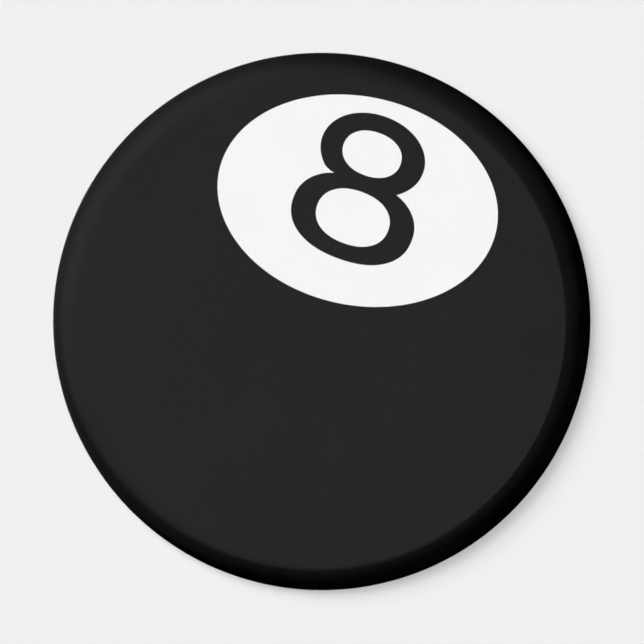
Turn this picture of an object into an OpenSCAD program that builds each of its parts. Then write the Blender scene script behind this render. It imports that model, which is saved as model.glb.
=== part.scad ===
// Round printed button magnet: a pressed tin shell covered with a printed
// paper disc and clear film, closed by a back plate that carries a flexible
// rubber magnet.
//
// Frame: millimetres. The magnet lies flat with its contact face at z = 0 and
// its centre at the origin. +Z points out of the printed face, +Y is the top
// of the picture and +X its right-hand side.

/* [Overall size] */

// Diameter over the rim
button_d = 57.15; // [57:0.05:60]
// Height from the magnet's contact face to the front of the printed face
button_h = 5.2; // [5:0.1:5.6]

/* [Rim] */

// Radius of the rounded rim, over the film
rim_r = 3.7; // [3.5:0.1:3.9]
// Slope of the rim, in degrees, where it leaves the flat face
crease_tilt = 15; // [14:1:22]
// Height of the rim's lower edge above the magnet's contact face
rim_lift = 0.25; // [0.15:0.05:0.35]

/* [Layers] */

// Thickness of the clear film
film_t = 0.10; // [0.08:0.01:0.12]
// Thickness of the black print
print_t = 0.03; // [0.02:0.01:0.04]
// Thickness of the paper
paper_t = 0.13; // [0.1:0.01:0.15]
// Thickness of the front shell's tinplate
shell_t = 0.24; // [0.2:0.02:0.3]
// Thickness of the back plate's tinplate
plate_t = 0.30; // [0.24:0.02:0.34]

/* [Magnet] */

// Diameter of the magnet disc
magnet_d = 48.6; // [42:0.2:49]
// Thickness of the magnet disc
magnet_t = 1.5; // [1.4:0.1:1.8]
// Thickness of the adhesive that holds the magnet
adhesive_t = 0.1; // [0.05:0.05:0.2]

/* [Picture] */

// Width of the white oval along its longer axis
oval_w = 30.0; // [22:0.1:30.4]
// Height of the white oval along its shorter axis
oval_h = 22.05; // [20:0.05:22.4]
// Distance of the oval's centre to the right of the face's centre
oval_x = 3.8; // [-0.5:0.1:3.8]
// Distance of the oval's centre above the face's centre
oval_y = 12.78; // [8:0.01:12.85]
// Clockwise tilt of the oval, in degrees
oval_tilt = 12.6; // [0:0.1:20]
// Scale of the numeral
numeral_scale = 1; // [0.6:0.05:1]
// Clockwise tilt of the numeral, in degrees
numeral_tilt = 20; // [10:0.5:24]

/* [Hidden] */

arc_fn = 120;   // circles of the cross-section
turn_fn = 180;  // sweep round the axis
eps = 0.5;

// Depths of the layers under the outer surface
d_film = film_t;
d_print = d_film + print_t;
d_paper = d_print + paper_t;
d_shell = d_paper + shell_t;

// The rim is one arc about this centre, in the radius-height plane. It meets
// the flat face in a crease.
rim_c = [button_d / 2 - rim_r, button_h - rim_r * cos(crease_tilt)];

// Paper and film fold round the shell's edge and run back up inside. The fold
// stands a little proud of the rim's thickness, because its pleats take room.
fold_r = d_paper + shell_t / 2;
fold_proud = 0.02;
// How far the rim tucks in under its widest point, in degrees
tuck = asin((rim_c[1] - rim_lift - fold_r - fold_proud) / (rim_r - fold_r));
fold_c = rim_c + (rim_r - fold_r) * [cos(tuck), -sin(tuck)];
inner_r = rim_r - 2 * fold_r;  // inner face of the return
film_end = rim_c[1] + 0.1;     // height at which the film stops inside the rim
paper_end = rim_c[1] - 0.1;    // height at which the paper stops

// Back plate: edge bead inside the fold, flat flange, tray for the magnet
bead_r = inner_r - fold_proud; // the bead fits inside the fold
bead_end = 15;
bend_r = 0.3;                  // inside radius of the plate's bends
bend_o = bend_r + plate_t;
bend_a = -(tuck + 1.5);
bend_c = rim_c + (bead_r - bend_o) * [cos(bend_a), sin(bend_a)];
flange_z = bend_c[1] - bend_o;
floor_z = magnet_t + adhesive_t;
tray_r = magnet_d / 2 + 0.45;  // magnet side of the tray's wall

// Numeral: two lobes and their openings, about the centre of the upper opening
numeral_x = oval_x + 1.53;
numeral_y = oval_y + 4.92;
upper_hole = [0, 0, 3.2, 2.36, 2.15];   // x, y, half width, half height, squareness
upper_lobe = [0.08, -0.02, 5.67, 4.23, 2.04];
lower_hole = [0.37, -7, 3.99, 2.87, 2.2];
lower_lobe = [0.4, -7.13, 6.67, 4.47, 2.23];
// Corners of the cut that sharpens the waist on its left
waist_left = [[-3.11, -3.21], [-3.58, -3.12], [-4.3, -2.8], [-4.4, -3.3], [-4, -3.54],
              [-3.48, -3.34]];

// ---- Two-dimensional helpers -------------------------------------------

// Everything inside the outer surface at depth t, from the axis to the rim
module inside(t)
    intersection() {
        union() {
            translate(rim_c) circle(r = rim_r - t, $fn = arc_fn);
            square([rim_c[0], button_h + 1]);
        }
        square([button_d, button_h - t]);
    }

// What lies below the end of the rim's arc
module below_rim()
    polygon([rim_c, rim_c + 9 * [cos(tuck), -sin(tuck)], [button_d, -9],
             [-1, -9], [-1, rim_c[1]]]);

// The rim wall between its outer and inner skins, and the fold, at depth t
module wrapped(t) {
    difference() {
        inside(t);
        translate(rim_c) circle(r = inner_r + t, $fn = arc_fn);
        below_rim();
    }
    translate(fold_c) circle(r = fold_r + fold_proud - t, $fn = arc_fn);
}

// Half section of one wrapped layer between depths t0 and t1: face, rim, fold,
// and the inner return as far up as the height end
module layer(t0, t1, end)
    difference() {
        wrapped(t0);
        wrapped(t1);
        intersection() {
            translate(rim_c) circle(r = rim_r - fold_r, $fn = arc_fn);
            translate([0, end]) square(button_d);
        }
        square([rim_c[0], rim_c[1] + 2]);
    }

// Points of an arc about c, in equal steps from angle a0 to angle a1
function arc(c, r, a0, a1, n) =
    [for (i = [0:n]) let (a = a0 + (a1 - a0) * i / n) c + r * [cos(a), sin(a)]];

// Closed curve between an ellipse and a rounded box: |x/a|^m + |y/b|^m = 1
function pw(v, m) = sign(v) * pow(abs(v), 2 / m);
module lobe(p, n)
    translate([p[0], p[1]])
        polygon([for (i = [0:n - 1]) let (t = 360 * (i + 0.5) / n)
            [p[2] * pw(cos(t), p[4]), p[3] * pw(sin(t), p[4])]]);

module oval()
    translate([oval_x, oval_y]) rotate(-oval_tilt)
        scale([oval_w / 2, oval_h / 2]) circle(r = 1, $fn = 180);

module numeral()
    translate([numeral_x, numeral_y]) rotate(-numeral_tilt)
        scale(numeral_scale)
            difference() {
                union() {
                    lobe(upper_lobe, 96);
                    lobe(lower_lobe, 96);
                }
                lobe(upper_hole, 64);
                lobe(lower_hole, 64);
                polygon(waist_left);
            }

// ---- Sub-parts -----------------------------------------------------------

// Clear film over the whole front, folded in behind the rim
module clear_film()
    color([0.85, 0.9, 0.95, 0.12])
        rotate_extrude($fn = turn_fn) layer(0, d_film, film_end);

// Black print all over the paper apart from the white oval
module field_print()
    color([0.15, 0.15, 0.15])
        difference() {
            rotate_extrude($fn = turn_fn) layer(d_film, d_print, paper_end);
            translate([0, 0, button_h - d_print - eps])
                linear_extrude(d_print + 2 * eps) oval();
        }

// Black numeral in the oval
module numeral_print()
    color([0.15, 0.15, 0.15])
        translate([0, 0, button_h - d_print])
            linear_extrude(print_t) numeral();

// White paper disc that carries the print
module printed_paper()
    color([0.96, 0.96, 0.96])
        rotate_extrude($fn = turn_fn) layer(d_print, d_paper, paper_end);

// Pressed tinplate cap with a rounded lower edge
module front_shell()
    color([0.75, 0.76, 0.78])
        rotate_extrude($fn = turn_fn) {
            difference() {
                inside(d_paper);
                inside(d_shell);
                below_rim();
            }
            translate(fold_c) circle(r = shell_t / 2 + fold_proud, $fn = arc_fn);
        }

// Pressed plate: bead at the edge, flange, and a tray that takes the magnet
module back_plate()
    color([0.70, 0.71, 0.73])
        rotate_extrude($fn = turn_fn)
            polygon(concat(
                // under side, from the bead's edge in to the axis
                arc(rim_c, bead_r, bead_end, bend_a, 10),
                arc(bend_c, bend_o, bend_a - 11, -90, 5),
                arc([tray_r + bend_o, flange_z + bend_o], bend_o, 270, 180, 6),
                arc([tray_r - bend_r, floor_z - bend_r], bend_r, 0, 90, 6),
                [[0, floor_z], [0, floor_z + plate_t]],
                // upper side, back out to the bead
                arc([tray_r - bend_r, floor_z - bend_r], bend_o, 90, 0, 6),
                arc([tray_r + bend_o, flange_z + bend_o], bend_r, 180, 270, 6),
                arc(bend_c, bend_r, -90, bend_a - 11, 5),
                arc(rim_c, bead_r - plate_t, bend_a, bead_end, 10)));

// Double-sided adhesive between the magnet and the tray
module adhesive_disc()
    color([0.90, 0.86, 0.70])
        translate([0, 0, magnet_t])
            cylinder(d = magnet_d - 0.6, h = adhesive_t, $fn = turn_fn);

// Flexible ferrite rubber disc
module magnet_disc()
    color([0.19, 0.17, 0.16])
        cylinder(d = magnet_d, h = magnet_t, $fn = turn_fn);

clear_film();
field_print();
numeral_print();
printed_paper();
front_shell();
back_plate();
adhesive_disc();
magnet_disc();
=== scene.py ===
import math

import bpy
import numpy as np
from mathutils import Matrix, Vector


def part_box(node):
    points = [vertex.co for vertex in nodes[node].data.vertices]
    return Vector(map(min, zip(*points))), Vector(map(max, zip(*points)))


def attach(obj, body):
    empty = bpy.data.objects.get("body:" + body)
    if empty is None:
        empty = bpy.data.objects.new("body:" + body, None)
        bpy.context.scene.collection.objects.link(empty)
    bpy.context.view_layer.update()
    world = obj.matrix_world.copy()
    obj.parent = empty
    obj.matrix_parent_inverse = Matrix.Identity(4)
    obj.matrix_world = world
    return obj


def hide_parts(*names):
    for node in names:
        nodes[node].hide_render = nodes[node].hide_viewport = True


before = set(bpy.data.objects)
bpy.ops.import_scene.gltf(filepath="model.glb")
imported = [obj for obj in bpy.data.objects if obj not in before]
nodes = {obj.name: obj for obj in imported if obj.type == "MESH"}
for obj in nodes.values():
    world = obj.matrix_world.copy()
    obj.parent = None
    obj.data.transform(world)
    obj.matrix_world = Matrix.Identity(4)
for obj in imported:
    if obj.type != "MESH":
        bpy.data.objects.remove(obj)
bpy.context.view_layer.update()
MM = 0.001
FLOOR_ALBEDO = 0.7615

# ---------------------------------------------------------------- the section
# The wrapped layers share one half section. Lengths here are millimetres, and
# match the CAD part; heights and radii are taken from the CAD nodes' boxes.
film_lo, film_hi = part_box("clear_film")
mag_lo, mag_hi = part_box("magnet_disc")
plate_lo, plate_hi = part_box("back_plate")

H = film_hi.z / MM                       # front of the face
R = 57.15 / 2
RIM_R, TILT, LIFT, PROUD = 3.7, 15.0, 0.25, 0.02
D_FILM, D_PRINT, D_PAPER, SHELL_T = 0.10, 0.13, 0.26, 0.24
CREASE_R = 0.6                           # softens the crease that CAD leaves sharp
C = (R - RIM_R, H - RIM_R * math.cos(math.radians(TILT)))
FOLD_R = D_PAPER + SHELL_T / 2
INNER_R = RIM_R - 2 * FOLD_R
TUCK = math.asin((C[1] - LIFT - FOLD_R - PROUD) / (RIM_R - FOLD_R))
F = (C[0] + (RIM_R - FOLD_R) * math.cos(TUCK), C[1] - (RIM_R - FOLD_R) * math.sin(TUCK))
CREASE_Z = H - CREASE_R
CREASE_A = math.asin((CREASE_Z - C[1]) / (RIM_R - CREASE_R))
CREASE_C = (C[0] + (RIM_R - CREASE_R) * math.cos(CREASE_A), CREASE_Z)

OVAL = dict(x=3.8, y=12.78, a=15.0, b=11.025, tilt=math.radians(12.6))
N_TURN = 640

rng = np.random.default_rng(8)


def smooth(x):
    x = np.clip(x, 0.0, 1.0)
    return x * x * (3 - 2 * x)


def stations(end_deg, rings):
    """The half section as rows of (kind, place, pleat). place is a radius on the flat face and an angle elsewhere."""
    rows = [("flat", r, 0.0) for r in rings]
    for a in np.linspace(math.pi / 2, CREASE_A, 7):
        rows.append(("crease", a, 0.0))
    for a in np.linspace(CREASE_A, -TUCK, 30)[1:]:
        rows.append(("rim", a, 0.75 * float(smooth((0.06 - a) / (TUCK + 0.06)))))
    for a in np.linspace(0, math.pi, 17)[1:-1]:
        rows.append(("fold", -TUCK - a, float((0.75 + 0.25 * smooth(a / 1.2)) * smooth((2.5 - a) / 1.1))))
    for a in np.linspace(-TUCK, math.radians(end_deg), 6):
        rows.append(("return", a, 0.0))
    return rows


def place(row, t):
    """Radius, height and outward direction of a station at depth t."""
    kind, v, _ = row
    if kind == "flat":
        return v, H - t, 0.0, 1.0
    c, s = math.cos(v), math.sin(v)
    if kind == "crease":
        return CREASE_C[0] + (CREASE_R - t) * c, CREASE_C[1] + (CREASE_R - t) * s, c, s
    if kind == "rim":
        return C[0] + (RIM_R - t) * c, C[1] + (RIM_R - t) * s, c, s
    if kind == "fold":
        return F[0] + (FOLD_R - t) * c, F[1] + (FOLD_R - t) * s, c, s
    return C[0] + (INNER_R + t) * c, C[1] + (INNER_R + t) * s, -c, -s


# Pleats of the paper and film where they are gathered under the rim. Each one
# is a low ridge that starts near the rim's widest line and leans a little.
N_PLEAT = 96
pleat_at = (np.arange(N_PLEAT) + rng.uniform(-0.32, 0.32, N_PLEAT)) * 2 * math.pi / N_PLEAT
pleat_w = rng.uniform(0.010, 0.019, N_PLEAT)
pleat_h = rng.uniform(0.25, 1.0, N_PLEAT)
pleat_start = rng.uniform(0.0, 0.45, N_PLEAT)
pleat_lean = rng.uniform(-0.012, 0.012, N_PLEAT)
PLEAT_MM = 0.13


def pleats(theta, share):
    """Height in mm of the pleats at angles theta, where share runs from 0 at the rim's widest line to 1 under the fold."""
    if share <= 0:
        return np.zeros_like(theta)
    out = np.zeros_like(theta)
    for at, w, h, begin, lean in zip(pleat_at, pleat_w, pleat_h, pleat_start, pleat_lean):
        grown = float(smooth((share - begin) / (1 - begin)))
        d = (theta - at - lean * share + math.pi) % (2 * math.pi) - math.pi
        out += h * grown * np.exp(-((d / w) ** 2))
    return PLEAT_MM * np.minimum(out, 1.15)


THETA = np.arange(N_TURN) * 2 * math.pi / N_TURN
COS, SIN = np.cos(THETA), np.sin(THETA)


def ring(row, t):
    r, z, dr, dz = place(row, t)
    lift = pleats(THETA, row[2])
    rr, zz = r + lift * dr, z + lift * dz
    return np.stack([rr * COS, rr * SIN, zz], axis=1) * MM


def new_mesh(name, verts, faces, material=None, smooth_faces=True):
    me = bpy.data.meshes.new(name)
    me.from_pydata([tuple(v) for v in verts], [], faces)
    me.validate(clean_customdata=False)
    me.update()
    if smooth_faces:
        me.polygons.foreach_set("use_smooth", [True] * len(me.polygons))
    ob = bpy.data.objects.new(name, me)
    bpy.context.scene.collection.objects.link(ob)
    if material is not None:
        me.materials.append(material)
    return ob


def mark_sharp(ob, angle_deg):
    """Flat shading breaks where two faces meet at more than the angle, as Shade Smooth by Angle does, but kept in the mesh."""
    me = ob.data
    limit = math.cos(math.radians(angle_deg))
    normals = [p.normal for p in me.polygons]
    by_edge = {}
    for p in me.polygons:
        for key in p.edge_keys:
            by_edge.setdefault(key, []).append(p.index)
    for e in me.edges:
        fs = by_edge.get(tuple(sorted(e.vertices)), [])
        if len(fs) == 2 and normals[fs[0]].dot(normals[fs[1]]) < limit:
            e.use_edge_sharp = True


def lathe_solid(name, outer, inner, window=None):
    """A closed shell from two stacks of rings of equal length, open or closed at the middle. window gives the rings' inner edge as points instead of the axis."""
    n = N_TURN
    verts, faces = [], []

    def add(rings):
        start = len(verts)
        for pts in rings:
            verts.extend(pts)
        return start

    a = add(outer)
    b = add(inner)
    rows = len(outer)
    for base, flip in ((a, False), (b, True)):
        for k in range(rows - 1):
            for i in range(n):
                j = (i + 1) % n
                q = (base + k * n + i, base + (k + 1) * n + i, base + (k + 1) * n + j, base + k * n + j)
                faces.append(q[::-1] if flip else q)
    last = (rows - 1) * n
    for i in range(n):
        j = (i + 1) % n
        faces.append((a + last + i, b + last + i, b + last + j, a + last + j))
    if window is None:
        for base, flip, ringpts in ((a, False, outer[0]), (b, True, inner[0])):
            c = len(verts)
            verts.append(np.array([0.0, 0.0, float(ringpts[0][2])]))
            for i in range(n):
                j = (i + 1) % n
                f = (c, base + i, base + j)
                faces.append(f[::-1] if flip else f)
    else:
        for i in range(n):
            j = (i + 1) % n
            faces.append((a + i, a + j, b + j, b + i))
    return verts, faces


def oval_point(theta, r_out):
    """Where the line from the oval's centre to a point of the circle r_out crosses the oval."""
    px, py = r_out * np.cos(theta), r_out * np.sin(theta)
    dx, dy = px - OVAL["x"], py - OVAL["y"]
    c, s = math.cos(OVAL["tilt"]), math.sin(OVAL["tilt"])
    qx, qy = dx * c - dy * s, dx * s + dy * c
    k = 1 / np.sqrt((qx / OVAL["a"]) ** 2 + (qy / OVAL["b"]) ** 2)
    return OVAL["x"] + k * dx, OVAL["y"] + k * dy


GAP = 0.003  # keeps touching layers apart, so that no two faces fight


def wrapped_layer(name, t0, t1, end_deg, material, windowed=False):
    t0, t1 = t0 + (GAP if t0 > 0 else 0), t1 - GAP
    if not windowed:
        rows = stations(end_deg, (3.0, 9.0, 16.0, 22.0, 25.2))
        outer, inner = [ring(s, t0) for s in rows], [ring(s, t1) for s in rows]
        verts, faces = lathe_solid(name, outer, inner)
    else:
        rows = stations(end_deg, (25.3,))
        ox, oy = oval_point(THETA, 25.3)
        outer, inner = [], []
        for share in (0.0, 0.02, 0.15, 0.4, 0.7):
            x = ox + share * (25.3 * COS - ox)
            y = oy + share * (25.3 * SIN - oy)
            for stack, t in ((outer, t0), (inner, t1)):
                stack.append(np.stack([x, y, np.full_like(x, H - t)], axis=1) * MM)
        outer += [ring(s, t0) for s in rows]
        inner += [ring(s, t1) for s in rows]
        verts, faces = lathe_solid(name, outer, inner, window=True)
    ob = new_mesh(name, verts, faces, material)
    mark_sharp(ob, 40)
    return ob


def lathe_profile(name, profile, n, material, wobble=None):
    """Turns a closed profile, a list of (r, z) in mm that starts and ends on the axis, about Z. wobble(theta, r, z) adds to each radius."""
    th = np.arange(n) * 2 * math.pi / n
    verts, faces, rows = [], [], []
    for r, z in profile:
        if r < 1e-9:
            rows.append([len(verts)])
            verts.append((0.0, 0.0, z * MM))
        else:
            rr = np.full(n, float(r)) + (wobble(th, r, z) if wobble else 0.0)
            rows.append(list(range(len(verts), len(verts) + n)))
            verts.extend(np.stack([rr * np.cos(th), rr * np.sin(th), np.full(n, float(z))], axis=1) * MM)
    for up, down in zip(rows, rows[1:]):
        for i in range(n):
            j = (i + 1) % n
            if len(up) == 1:
                faces.append((up[0], down[i], down[j]))
            elif len(down) == 1:
                faces.append((up[i], down[0], up[j]))
            else:
                faces.append((up[i], down[i], down[j], up[j]))
    return new_mesh(name, verts, faces, material)


def arc(c, r, a0, a1, n):
    return [(c[0] + r * math.cos(math.radians(a)), c[1] + r * math.sin(math.radians(a))) for a in np.linspace(a0, a1, n + 1)]


# ----------------------------------------------------------------- materials


class Tree:
    """A short way to write one material's nodes."""

    def __init__(self, name):
        self.mat = bpy.data.materials.new(name)
        self.mat.use_nodes = True
        self.nt = self.mat.node_tree
        self.nt.nodes.clear()
        self.out = self.nt.nodes.new("ShaderNodeOutputMaterial")
        self.bsdf = self.nt.nodes.new("ShaderNodeBsdfPrincipled")
        self.nt.links.new(self.bsdf.outputs[0], self.out.inputs["Surface"])
        self.coord = self.nt.nodes.new("ShaderNodeTexCoord").outputs["Object"]

    def set(self, **values):
        for k, v in values.items():
            self.bsdf.inputs[k.replace("_", " ")].default_value = v
        return self

    def link(self, a, b):
        self.nt.links.new(a, b)

    def mapped(self, scale, rotation=(0, 0, 0)):
        m = self.nt.nodes.new("ShaderNodeMapping")
        m.inputs["Scale"].default_value = scale
        m.inputs["Rotation"].default_value = rotation
        self.link(self.coord, m.inputs["Vector"])
        return m.outputs[0]

    def noise(self, scale, detail=3.0, rough=0.5, vector=None, distortion=0.0):
        n = self.nt.nodes.new("ShaderNodeTexNoise")
        n.inputs["Scale"].default_value = scale
        n.inputs["Detail"].default_value = detail
        n.inputs["Roughness"].default_value = rough
        n.inputs["Distortion"].default_value = distortion
        self.link(vector if vector is not None else self.coord, n.inputs["Vector"])
        return n.outputs["Fac"]

    def voronoi(self, scale, vector=None, feature="F1"):
        n = self.nt.nodes.new("ShaderNodeTexVoronoi")
        n.feature = feature
        n.inputs["Scale"].default_value = scale
        self.link(vector if vector is not None else self.coord, n.inputs["Vector"])
        return n.outputs["Distance"]

    def ranged(self, value, lo, hi, to_lo, to_hi):
        n = self.nt.nodes.new("ShaderNodeMapRange")
        for k, v in (("From Min", lo), ("From Max", hi), ("To Min", to_lo), ("To Max", to_hi)):
            n.inputs[k].default_value = v
        self.link(value, n.inputs["Value"])
        return n.outputs["Result"]

    def maths(self, op, a, b=None):
        n = self.nt.nodes.new("ShaderNodeMath")
        n.operation = op
        for i, v in enumerate((a, b)):
            if v is None:
                continue
            if isinstance(v, (int, float)):
                n.inputs[i].default_value = v
            else:
                self.link(v, n.inputs[i])
        return n.outputs[0]

    def colour(self, factor, a, b):
        n = self.nt.nodes.new("ShaderNodeMix")
        n.data_type = "RGBA"
        if isinstance(factor, (int, float)):
            n.inputs["Factor"].default_value = factor
        else:
            self.link(factor, n.inputs["Factor"])
        for socket, v in ((n.inputs[6], a), (n.inputs[7], b)):
            if isinstance(v, tuple):
                socket.default_value = (*v, 1.0)
            else:
                self.link(v, socket)
        return n.outputs[2]

    def bump(self, height, distance, strength=1.0, normal=None):
        n = self.nt.nodes.new("ShaderNodeBump")
        n.inputs["Strength"].default_value = strength
        n.inputs["Distance"].default_value = distance
        self.link(height, n.inputs["Height"])
        if normal is not None:
            self.link(normal, n.inputs["Normal"])
        return n.outputs[0]

    def to(self, **sockets):
        for k, v in sockets.items():
            self.link(v, self.bsdf.inputs[k.replace("_", " ")])
        return self


GLOSS = dict(Coat_Weight=1.0, Coat_Roughness=0.11, Coat_IOR=1.5)


def film_skin(t):
    """The faint unevenness that the film shows over print and paper: slow waves with a fine orange peel."""
    slow = t.noise(210, 2.0, 0.45)
    peel = t.noise(1900, 2.0, 0.5)
    return t.bump(peel, 1.2e-6, 1.0, t.bump(slow, 1.5e-5, 1.0))


def black_toner():
    t = Tree("black_toner")
    cloud = t.noise(95, 5.0, 0.6, distortion=0.4)
    tooth = t.noise(7200, 2.0, 0.6)
    mixed = t.maths("ADD", t.maths("MULTIPLY", cloud, 0.75), t.maths("MULTIPLY", tooth, 0.25))
    t.to(Base_Color=t.colour(t.ranged(mixed, 0.36, 0.64, 0, 1), (0.0005, 0.0005, 0.0005), (0.0021, 0.0021, 0.0020)))
    t.to(Roughness=t.ranged(tooth, 0.3, 0.7, 0.45, 0.6))
    t.set(Specular_IOR_Level=0.0, **GLOSS)
    t.to(Coat_Normal=film_skin(t))
    return t.mat


def white_paper():
    t = Tree("white_paper")
    fibre = t.noise(2600, 4.0, 0.62, vector=t.mapped((1.0, 0.45, 1.0), (0, 0, 0.6)))
    cloud = t.noise(160, 4.0, 0.5)
    mixed = t.maths("ADD", t.maths("MULTIPLY", fibre, 0.6), t.maths("MULTIPLY", cloud, 0.4))
    t.to(Base_Color=t.colour(t.ranged(mixed, 0.35, 0.65, 0, 1), (0.858, 0.858, 0.857), (0.882, 0.882, 0.882)))
    t.to(Roughness=t.ranged(fibre, 0.3, 0.7, 0.55, 0.7))
    t.set(Specular_IOR_Level=0.0, **GLOSS)
    t.to(Coat_Normal=film_skin(t))
    return t.mat


def clear_film():
    t = Tree("clear_film")
    scuff = t.noise(900, 5.0, 0.65, vector=t.mapped((1.0, 6.0, 1.0), (0, 0, 0.9)))
    t.to(Base_Color=t.colour(t.ranged(scuff, 0.4, 0.7, 0, 1), (0.004, 0.004, 0.004), (0.012, 0.012, 0.012)))
    t.to(Roughness=t.ranged(scuff, 0.35, 0.75, 0.09, 0.16))
    t.set(Alpha=0.025, IOR=1.5)
    t.to(Normal=film_skin(t))
    return t.mat


def tinplate(name, tint, angle):
    t = Tree(name)
    grain = t.noise(2600, 4.0, 0.62, vector=t.mapped((1.0, 0.028, 1.0), (0, 0, angle)))
    smear = t.noise(150, 4.0, 0.55)
    spangle = t.voronoi(330, feature="F1")
    scratch = t.voronoi(420, vector=t.mapped((1.0, 0.035, 1.0), (0, 0, angle + 1.1)), feature="DISTANCE_TO_EDGE")
    hair = t.ranged(scratch, 0.0, 0.010, 1.0, 0.0)
    both = t.maths("ADD", t.maths("MULTIPLY", grain, 0.55), t.maths("MULTIPLY", smear, 0.45))
    base = t.colour(t.ranged(both, 0.36, 0.64, 0, 1), tuple(0.78 * c for c in tint), tint)
    t.to(Base_Color=base)
    rough = t.maths("ADD", t.ranged(both, 0.3, 0.7, 0.22, 0.40), t.ranged(spangle, 0.0, 0.7, 0.0, 0.05))
    t.to(Roughness=t.maths("ADD", rough, t.maths("MULTIPLY", hair, 0.10)))
    t.set(Metallic=1.0)
    height = t.maths("SUBTRACT", grain, t.maths("MULTIPLY", hair, 0.5))
    t.to(Normal=t.bump(height, 2.2e-6, 1.0, t.bump(smear, 3.0e-5)))
    return t.mat


def ferrite_rubber():
    t = Tree("ferrite_rubber")
    speck = t.noise(6400, 3.0, 0.7)
    cloud = t.noise(240, 4.0, 0.55)
    lines = t.noise(3400, 4.0, 0.62, vector=t.mapped((1.0, 0.022, 1.0), (0, 0, 0.18)))
    bands = t.noise(760, 3.0, 0.55, vector=t.mapped((1.0, 0.030, 1.0), (0, 0, 0.18)))
    pit = t.ranged(t.voronoi(1700), 0.0, 0.15, 1.0, 0.0)
    mixed = t.maths("ADD", t.maths("MULTIPLY", cloud, 0.40), t.maths("ADD", t.maths("MULTIPLY", lines, 0.38), t.maths("MULTIPLY", bands, 0.22)))
    body = t.colour(t.ranged(mixed, 0.37, 0.63, 0, 1), (0.022, 0.0185, 0.0165), (0.050, 0.0430, 0.0385))
    t.to(Base_Color=t.colour(t.ranged(speck, 0.60, 0.76, 0.0, 0.7), body, (0.100, 0.088, 0.080)))
    t.to(Roughness=t.ranged(mixed, 0.3, 0.7, 0.50, 0.72))
    height = t.maths("ADD", t.maths("MULTIPLY", speck, 0.30), t.maths("SUBTRACT", lines, t.maths("MULTIPLY", pit, 0.6)))
    t.to(Normal=t.bump(height, 1.1e-5, 1.0, t.bump(bands, 2.0e-5)))
    t.set(Specular_IOR_Level=0.4)
    return t.mat


def adhesive():
    t = Tree("acrylic_adhesive")
    fleck = t.noise(1500, 4.0, 0.6)
    t.to(Base_Color=t.colour(t.ranged(fleck, 0.35, 0.7, 0, 1), (0.66, 0.61, 0.46), (0.80, 0.77, 0.64)))
    t.to(Roughness=t.ranged(fleck, 0.3, 0.7, 0.35, 0.5))
    t.to(Normal=t.bump(fleck, 1.5e-5))
    return t.mat


def pale_floor():
    t = Tree("pale_floor")
    n = t.noise(30, 3.0, 0.5)
    t.to(Base_Color=t.colour(n, (FLOOR_ALBEDO - 0.001,) * 3, (FLOOR_ALBEDO + 0.001,) * 3))
    t.set(Roughness=1.0, Specular_IOR_Level=0.0)
    return t.mat


TONER, PAPER, FILM = black_toner(), white_paper(), clear_film()
SHELL_TIN = tinplate("tinplate_shell", (0.70, 0.705, 0.70), 0.3)
PLATE_TIN = tinplate("tinplate_plate", (0.69, 0.695, 0.695), 1.2)
RUBBER, GLUE = ferrite_rubber(), adhesive()


def keep(node, material):
    me = nodes[node].data
    me.materials.clear()
    me.materials.append(material)


film = wrapped_layer("film_wrapped", 0.0, D_FILM, 1.5, FILM)
field = wrapped_layer("field_print_wrapped", D_FILM, D_PRINT, -1.5, TONER, windowed=True)
paper = wrapped_layer("paper_wrapped", D_PRINT, D_PAPER, -1.5, PAPER)
for piece, node, slot in ((film, "clear_film", "film"), (field, "field_print", "black_toner"), (paper, "printed_paper", "paper")):
    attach(piece, "root")
    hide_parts(node)

keep("numeral_print", TONER)
keep("front_shell", SHELL_TIN)

# Back plate: the CAD section with smooth arcs
plate_t, bend_r = 0.30, 0.30
bend_o = bend_r + plate_t
bead_r = INNER_R - PROUD
bend_a = -math.degrees(TUCK) - 1.5
bend_c = (C[0] + (bead_r - bend_o) * math.cos(math.radians(bend_a)), C[1] + (bead_r - bend_o) * math.sin(math.radians(bend_a)))
flange_z = bend_c[1] - bend_o
mag_r = mag_hi.x / MM
mag_t = mag_hi.z / MM
floor_z = mag_t + 0.1
tray_r = 24.3 + 0.45
edge = 0.06
profile = [(0.0, floor_z + plate_t)]
profile += [(r, floor_z + plate_t) for r in (8.0, 16.0, 22.0)]
profile += arc((tray_r - bend_r, floor_z - bend_r), bend_o, 90, 0, 10)
profile += arc((tray_r + bend_o, flange_z + bend_o), bend_r, 180, 270, 8)
profile += arc(bend_c, bend_r, -90, bend_a, 8)
profile += arc(C, bead_r - plate_t, bend_a, 13.5, 16)[1:]
profile += arc(C, bead_r - plate_t + edge, 14.6, 15.0, 1)[1:]
profile += arc(C, bead_r - edge, 15.0, 14.6, 1)[:1]
profile += arc(C, bead_r, 13.5, bend_a, 16)
profile += arc(bend_c, bend_o, bend_a, -90, 10)[1:]
profile += arc((tray_r + bend_o, flange_z + bend_o), bend_o, 270, 180, 10)
profile += arc((tray_r - bend_r, floor_z - bend_r), bend_r, 0, 90, 8)
profile += [(r, floor_z) for r in (22.0, 16.0, 8.0)]
profile += [(0.0, floor_z)]
plate = lathe_profile("back_plate_pressed", profile, 360, PLATE_TIN)
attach(plate, "root")
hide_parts("back_plate")

# Magnet: die-cut disc with a softened upper edge and a slightly torn lower one
cut = [(rng.integers(3, 60), rng.uniform(0, 2 * math.pi), rng.uniform(0.2, 1.0)) for _ in range(26)]


def die_cut(th, r, z):
    if r < 24.0:
        return np.zeros_like(th)
    out = np.zeros_like(th)
    for k, p, w in cut:
        out += w * np.sin(k * th + p) / (3 + k * 0.4)
    return -0.022 + 0.010 * np.clip(out, -1.6, 1.6)


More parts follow.
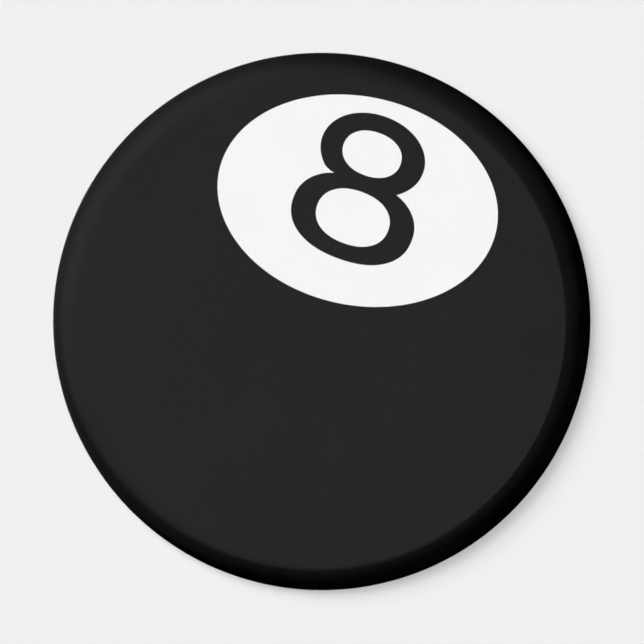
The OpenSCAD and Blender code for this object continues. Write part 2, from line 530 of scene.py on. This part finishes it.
mr = 24.3
profile = [(0.0, mag_t)] + [(r, mag_t) for r in (8.0, 16.0, 22.0, mr - 0.12)]
profile += arc((mr - 0.10, mag_t - 0.10), 0.10, 80, 0, 4)
profile += [(mr, mag_t * 0.66), (mr - 0.015, mag_t * 0.33)]
profile += arc((mr - 0.075, 0.06), 0.06, 0, -80, 4)
profile += [(r, 0.0) for r in (mr - 0.1, 22.0, 16.0, 8.0, 0.0)]
magnet = lathe_profile("magnet_die_cut", profile, 360, RUBBER, die_cut)
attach(magnet, "root")
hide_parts("magnet_disc")


def torn(th, r, z):
    if r < 23.0:
        return np.zeros_like(th)
    out = np.zeros_like(th)
    for k, p, w in cut[::-1]:
        out += w * np.sin((k + 2) * th - 2 * p) / (3 + k * 0.3)
    return 0.03 * np.clip(out, -1.5, 1.5)


ar = 24.0
profile = [(0.0, floor_z), (10.0, floor_z), (20.0, floor_z), (ar - 0.05, floor_z), (ar, floor_z - 0.03), (ar - 0.02, mag_t + 0.03), (ar - 0.06, mag_t), (20.0, mag_t), (10.0, mag_t), (0.0, mag_t)]
glue = lathe_profile("adhesive_sheet", profile, 240, GLUE, torn)
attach(glue, "root")
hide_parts("adhesive_disc")

for ob in (plate, magnet, glue):
    mark_sharp(ob, 38)

# --------------------------------------------------------------------- stage
me = bpy.data.meshes.new("floor")
s = 6.0
me.from_pydata([(-s, -s, 0), (s, -s, 0), (s, s, 0), (-s, s, 0)], [], [(0, 1, 2, 3)])
me.materials.append(pale_floor())
floor = bpy.data.objects.new("floor", me)
bpy.context.scene.collection.objects.link(floor)
floor.visible_glossy = False

# --------------------------------------------------------------------- light


def aim(ob, direction):
    ob.rotation_euler = Vector(direction).to_track_quat("-Z", "Y").to_euler()


def sun(name, azimuth, elevation, floor_share, angle_deg, shadow=True):
    """A sun that gives the floor its share of LEVEL. The azimuth is where the light stands, anticlockwise from +X."""
    a, e = math.radians(azimuth), math.radians(elevation)
    towards = Vector((math.cos(a) * math.cos(e), math.sin(a) * math.cos(e), math.sin(e)))
    data = bpy.data.lights.new(name, "SUN")
    data.energy = LEVEL * floor_share / towards.z
    data.angle = math.radians(angle_deg)
    data.use_shadow = shadow
    if hasattr(data, "cycles") and hasattr(data.cycles, "cast_shadow"):
        data.cycles.cast_shadow = shadow
    ob = bpy.data.objects.new(name, data)
    bpy.context.scene.collection.objects.link(ob)
    aim(ob, -towards)
    ob.visible_glossy = False
    return ob


LEVEL = math.pi * 0.8735 / FLOOR_ALBEDO
sun("key_low", 145.7, 57.7, 0.257, 33.9)
sun("key_mid", 136.1, 68.2, 0.140, 18.9)
sun("key_high", 144.1, 81.5, 0.060, 5.8)
sun("fill", 0, 90, 0.543, 3, shadow=False)


def soft_panel():
    """The reflections come from a large dome that only gloss sees: a bright round panel overhead that leans to the left, with a soft edge, and a dim room that gets darker to the lower right."""
    radius, rows, cols = 0.30, 48, 96
    verts = [(0.0, 0.0, radius)]
    for i in range(1, rows):
        t = math.pi * i / rows
        for j in range(cols):
            a = 2 * math.pi * j / cols
            verts.append((radius * math.sin(t) * math.cos(a), radius * math.sin(t) * math.sin(a), radius * math.cos(t)))
    verts.append((0.0, 0.0, -radius))
    faces = [(0, 1 + (j + 1) % cols, 1 + j) for j in range(cols)]
    for i in range(rows - 2):
        for j in range(cols):
            k = (j + 1) % cols
            p, q = 1 + i * cols, 1 + (i + 1) * cols
            faces.append((p + j, p + k, q + k, q + j))
    p, end = 1 + (rows - 2) * cols, len(verts) - 1
    faces += [(p + j, p + (j + 1) % cols, end) for j in range(cols)]
    me = bpy.data.meshes.new("panel_dome")
    me.from_pydata(verts, [], faces)

    mat = bpy.data.materials.new("panel_light")
    mat.use_nodes = True
    nt = mat.node_tree
    nt.nodes.clear()

    def node(kind, **inputs):
        n = nt.nodes.new(kind)
        for k, v in inputs.items():
            n.inputs[int(k[1:])].default_value = v
        return n

    def maths(op, a, b=0.0, c=0.0, clamp=False):
        n = nt.nodes.new("ShaderNodeMath")
        n.operation, n.use_clamp = op, clamp
        for i, v in enumerate((a, b, c)):
            if isinstance(v, (int, float)):
                n.inputs[i].default_value = v
            else:
                nt.links.new(v, n.inputs[i])
        return n.outputs[0]

    place_ = nt.nodes.new("ShaderNodeTexCoord").outputs["Object"]
    unit = nt.nodes.new("ShaderNodeVectorMath")
    unit.operation = "NORMALIZE"
    nt.links.new(place_, unit.inputs[0])
    sep = nt.nodes.new("ShaderNodeSeparateXYZ")
    nt.links.new(unit.outputs[0], sep.inputs[0])
    # Flatten the dome to a disc, as a mirror ball shows it
    k = maths("DIVIDE", 1.0, maths("SQRT", maths("MULTIPLY_ADD", sep.outputs[2], 2.0, 2.0004)))
    x, y = maths("MULTIPLY", sep.outputs[0], k), maths("MULTIPLY", sep.outputs[1], k)

    rho = maths("SQRT", maths("ADD", maths("MULTIPLY", x, x), maths("MULTIPLY_ADD", y, y, 1e-6)))
    cx, cy = maths("DIVIDE", x, rho), maths("DIVIDE", y, rho)

    def total(constant, *terms):
        out = maths("ADD", constant, 0.0)
        for value, factor in terms:
            out = maths("MULTIPLY_ADD", value, factor, out)
        return out

    # The panel's outline, as its distance from overhead in each direction
    turned = [(cx, cy)]
    for _ in range(3):
        a, b = turned[-1]
        turned.append((maths("SUBTRACT", maths("MULTIPLY", a, cx), maths("MULTIPLY", b, cy)),
                       maths("ADD", maths("MULTIPLY", a, cy), maths("MULTIPLY", b, cx))))
    waves = ((-0.2599, 0.0975), (-0.0417, -0.006), (-0.0391, -0.0274), (0.0013, 0.0036))
    edge = total(0.4934, *[(v, f) for pair, fs in zip(turned, waves) for v, f in zip(pair, fs)])
    off = maths("SUBTRACT", edge, rho)
    # Its softness, which is greater towards the top
    soft = maths("MAXIMUM", total(0.16, (cx, -0.0059), (cy, 0.0983)), 0.03)
    ramp = nt.nodes.new("ShaderNodeMapRange")
    ramp.interpolation_type = "SMOOTHSTEP"
    for name, v in (("From Min", 0.0), ("From Max", 1.0), ("To Min", 0.0), ("To Max", 1.0)):
        ramp.inputs[name].default_value = v
    nt.links.new(maths("ADD", maths("DIVIDE", maths("MULTIPLY", off, 0.5), soft), 0.5), ramp.inputs["Value"])
    xx, yy, xy = maths("MULTIPLY", x, x), maths("MULTIPLY", y, y), maths("MULTIPLY", x, y)
    panel = maths("MAXIMUM", total(0.4716, (x, -0.2986), (y, 0.0314), (xx, -0.2583), (yy, -0.1428), (xy, -0.7613)), 0.0)
    # The middle, which the flat face shows, is a little brighter to the left
    near = maths("MAXIMUM", total(1.0, (xx, -39.0), (yy, -39.0)), 0.0)
    near = maths("MULTIPLY", maths("MULTIPLY", near, near), total(0.022, (x, -0.59), (y, -0.1)))
    panel = maths("ADD", panel, near)
    room = maths("MAXIMUM", total(0.1879, (x, -0.1169), (y, 0.0884), (xx, -0.22), (yy, -0.2509), (xy, 0.0376)), 0.0)
    level = maths("ADD", room, maths("MULTIPLY", ramp.outputs["Result"], maths("SUBTRACT", panel, room)))
    emit = nt.nodes.new("ShaderNodeEmission")
    nt.links.new(level, emit.inputs["Strength"])
    out = nt.nodes.new("ShaderNodeOutputMaterial")
    nt.links.new(emit.outputs[0], out.inputs["Surface"])
    me.materials.append(mat)
    ob = bpy.data.objects.new("panel_dome", me)
    bpy.context.scene.collection.objects.link(ob)
    ob.visible_camera = ob.visible_diffuse = ob.visible_transmission = False
    ob.visible_volume_scatter = ob.visible_shadow = False


soft_panel()

# The backdrop's tone, seen by the camera only
world = bpy.data.worlds.new("studio")
bpy.context.scene.world = world
world.use_nodes = True
nt = world.node_tree
nt.nodes.clear()
out = nt.nodes.new("ShaderNodeOutputWorld")
seen = nt.nodes.new("ShaderNodeBackground")
seen.inputs["Color"].default_value = (0.871, 0.871, 0.871, 1)
nt.links.new(seen.outputs[0], out.inputs[0])
rays = world.cycles_visibility
rays.diffuse = rays.glossy = rays.transmission = rays.scatter = False

# -------------------------------------------------------------------- camera
cam_data = bpy.data.cameras.new("camera")
cam_data.lens = 1200
cam_data.sensor_width = 36
cam_data.clip_start, cam_data.clip_end = 0.01, 100
cam = bpy.data.objects.new("camera", cam_data)
bpy.context.scene.collection.objects.link(cam)
half = 34.122 * MM                       # half of what the picture is wide at the rim's widest line
cam.location = (0.000027, -0.000054, C[1] * MM + half * cam_data.lens / 18)
cam.rotation_euler = (0, 0, 0)
bpy.context.scene.camera = cam

view = bpy.context.scene.view_settings
bpy.context.scene.display_settings.display_device = "sRGB"
view.view_transform = "Standard"
view.look = "None"
view.exposure, view.gamma = 0.0, 1.0
bpy.context.scene.cycles.use_denoising = True
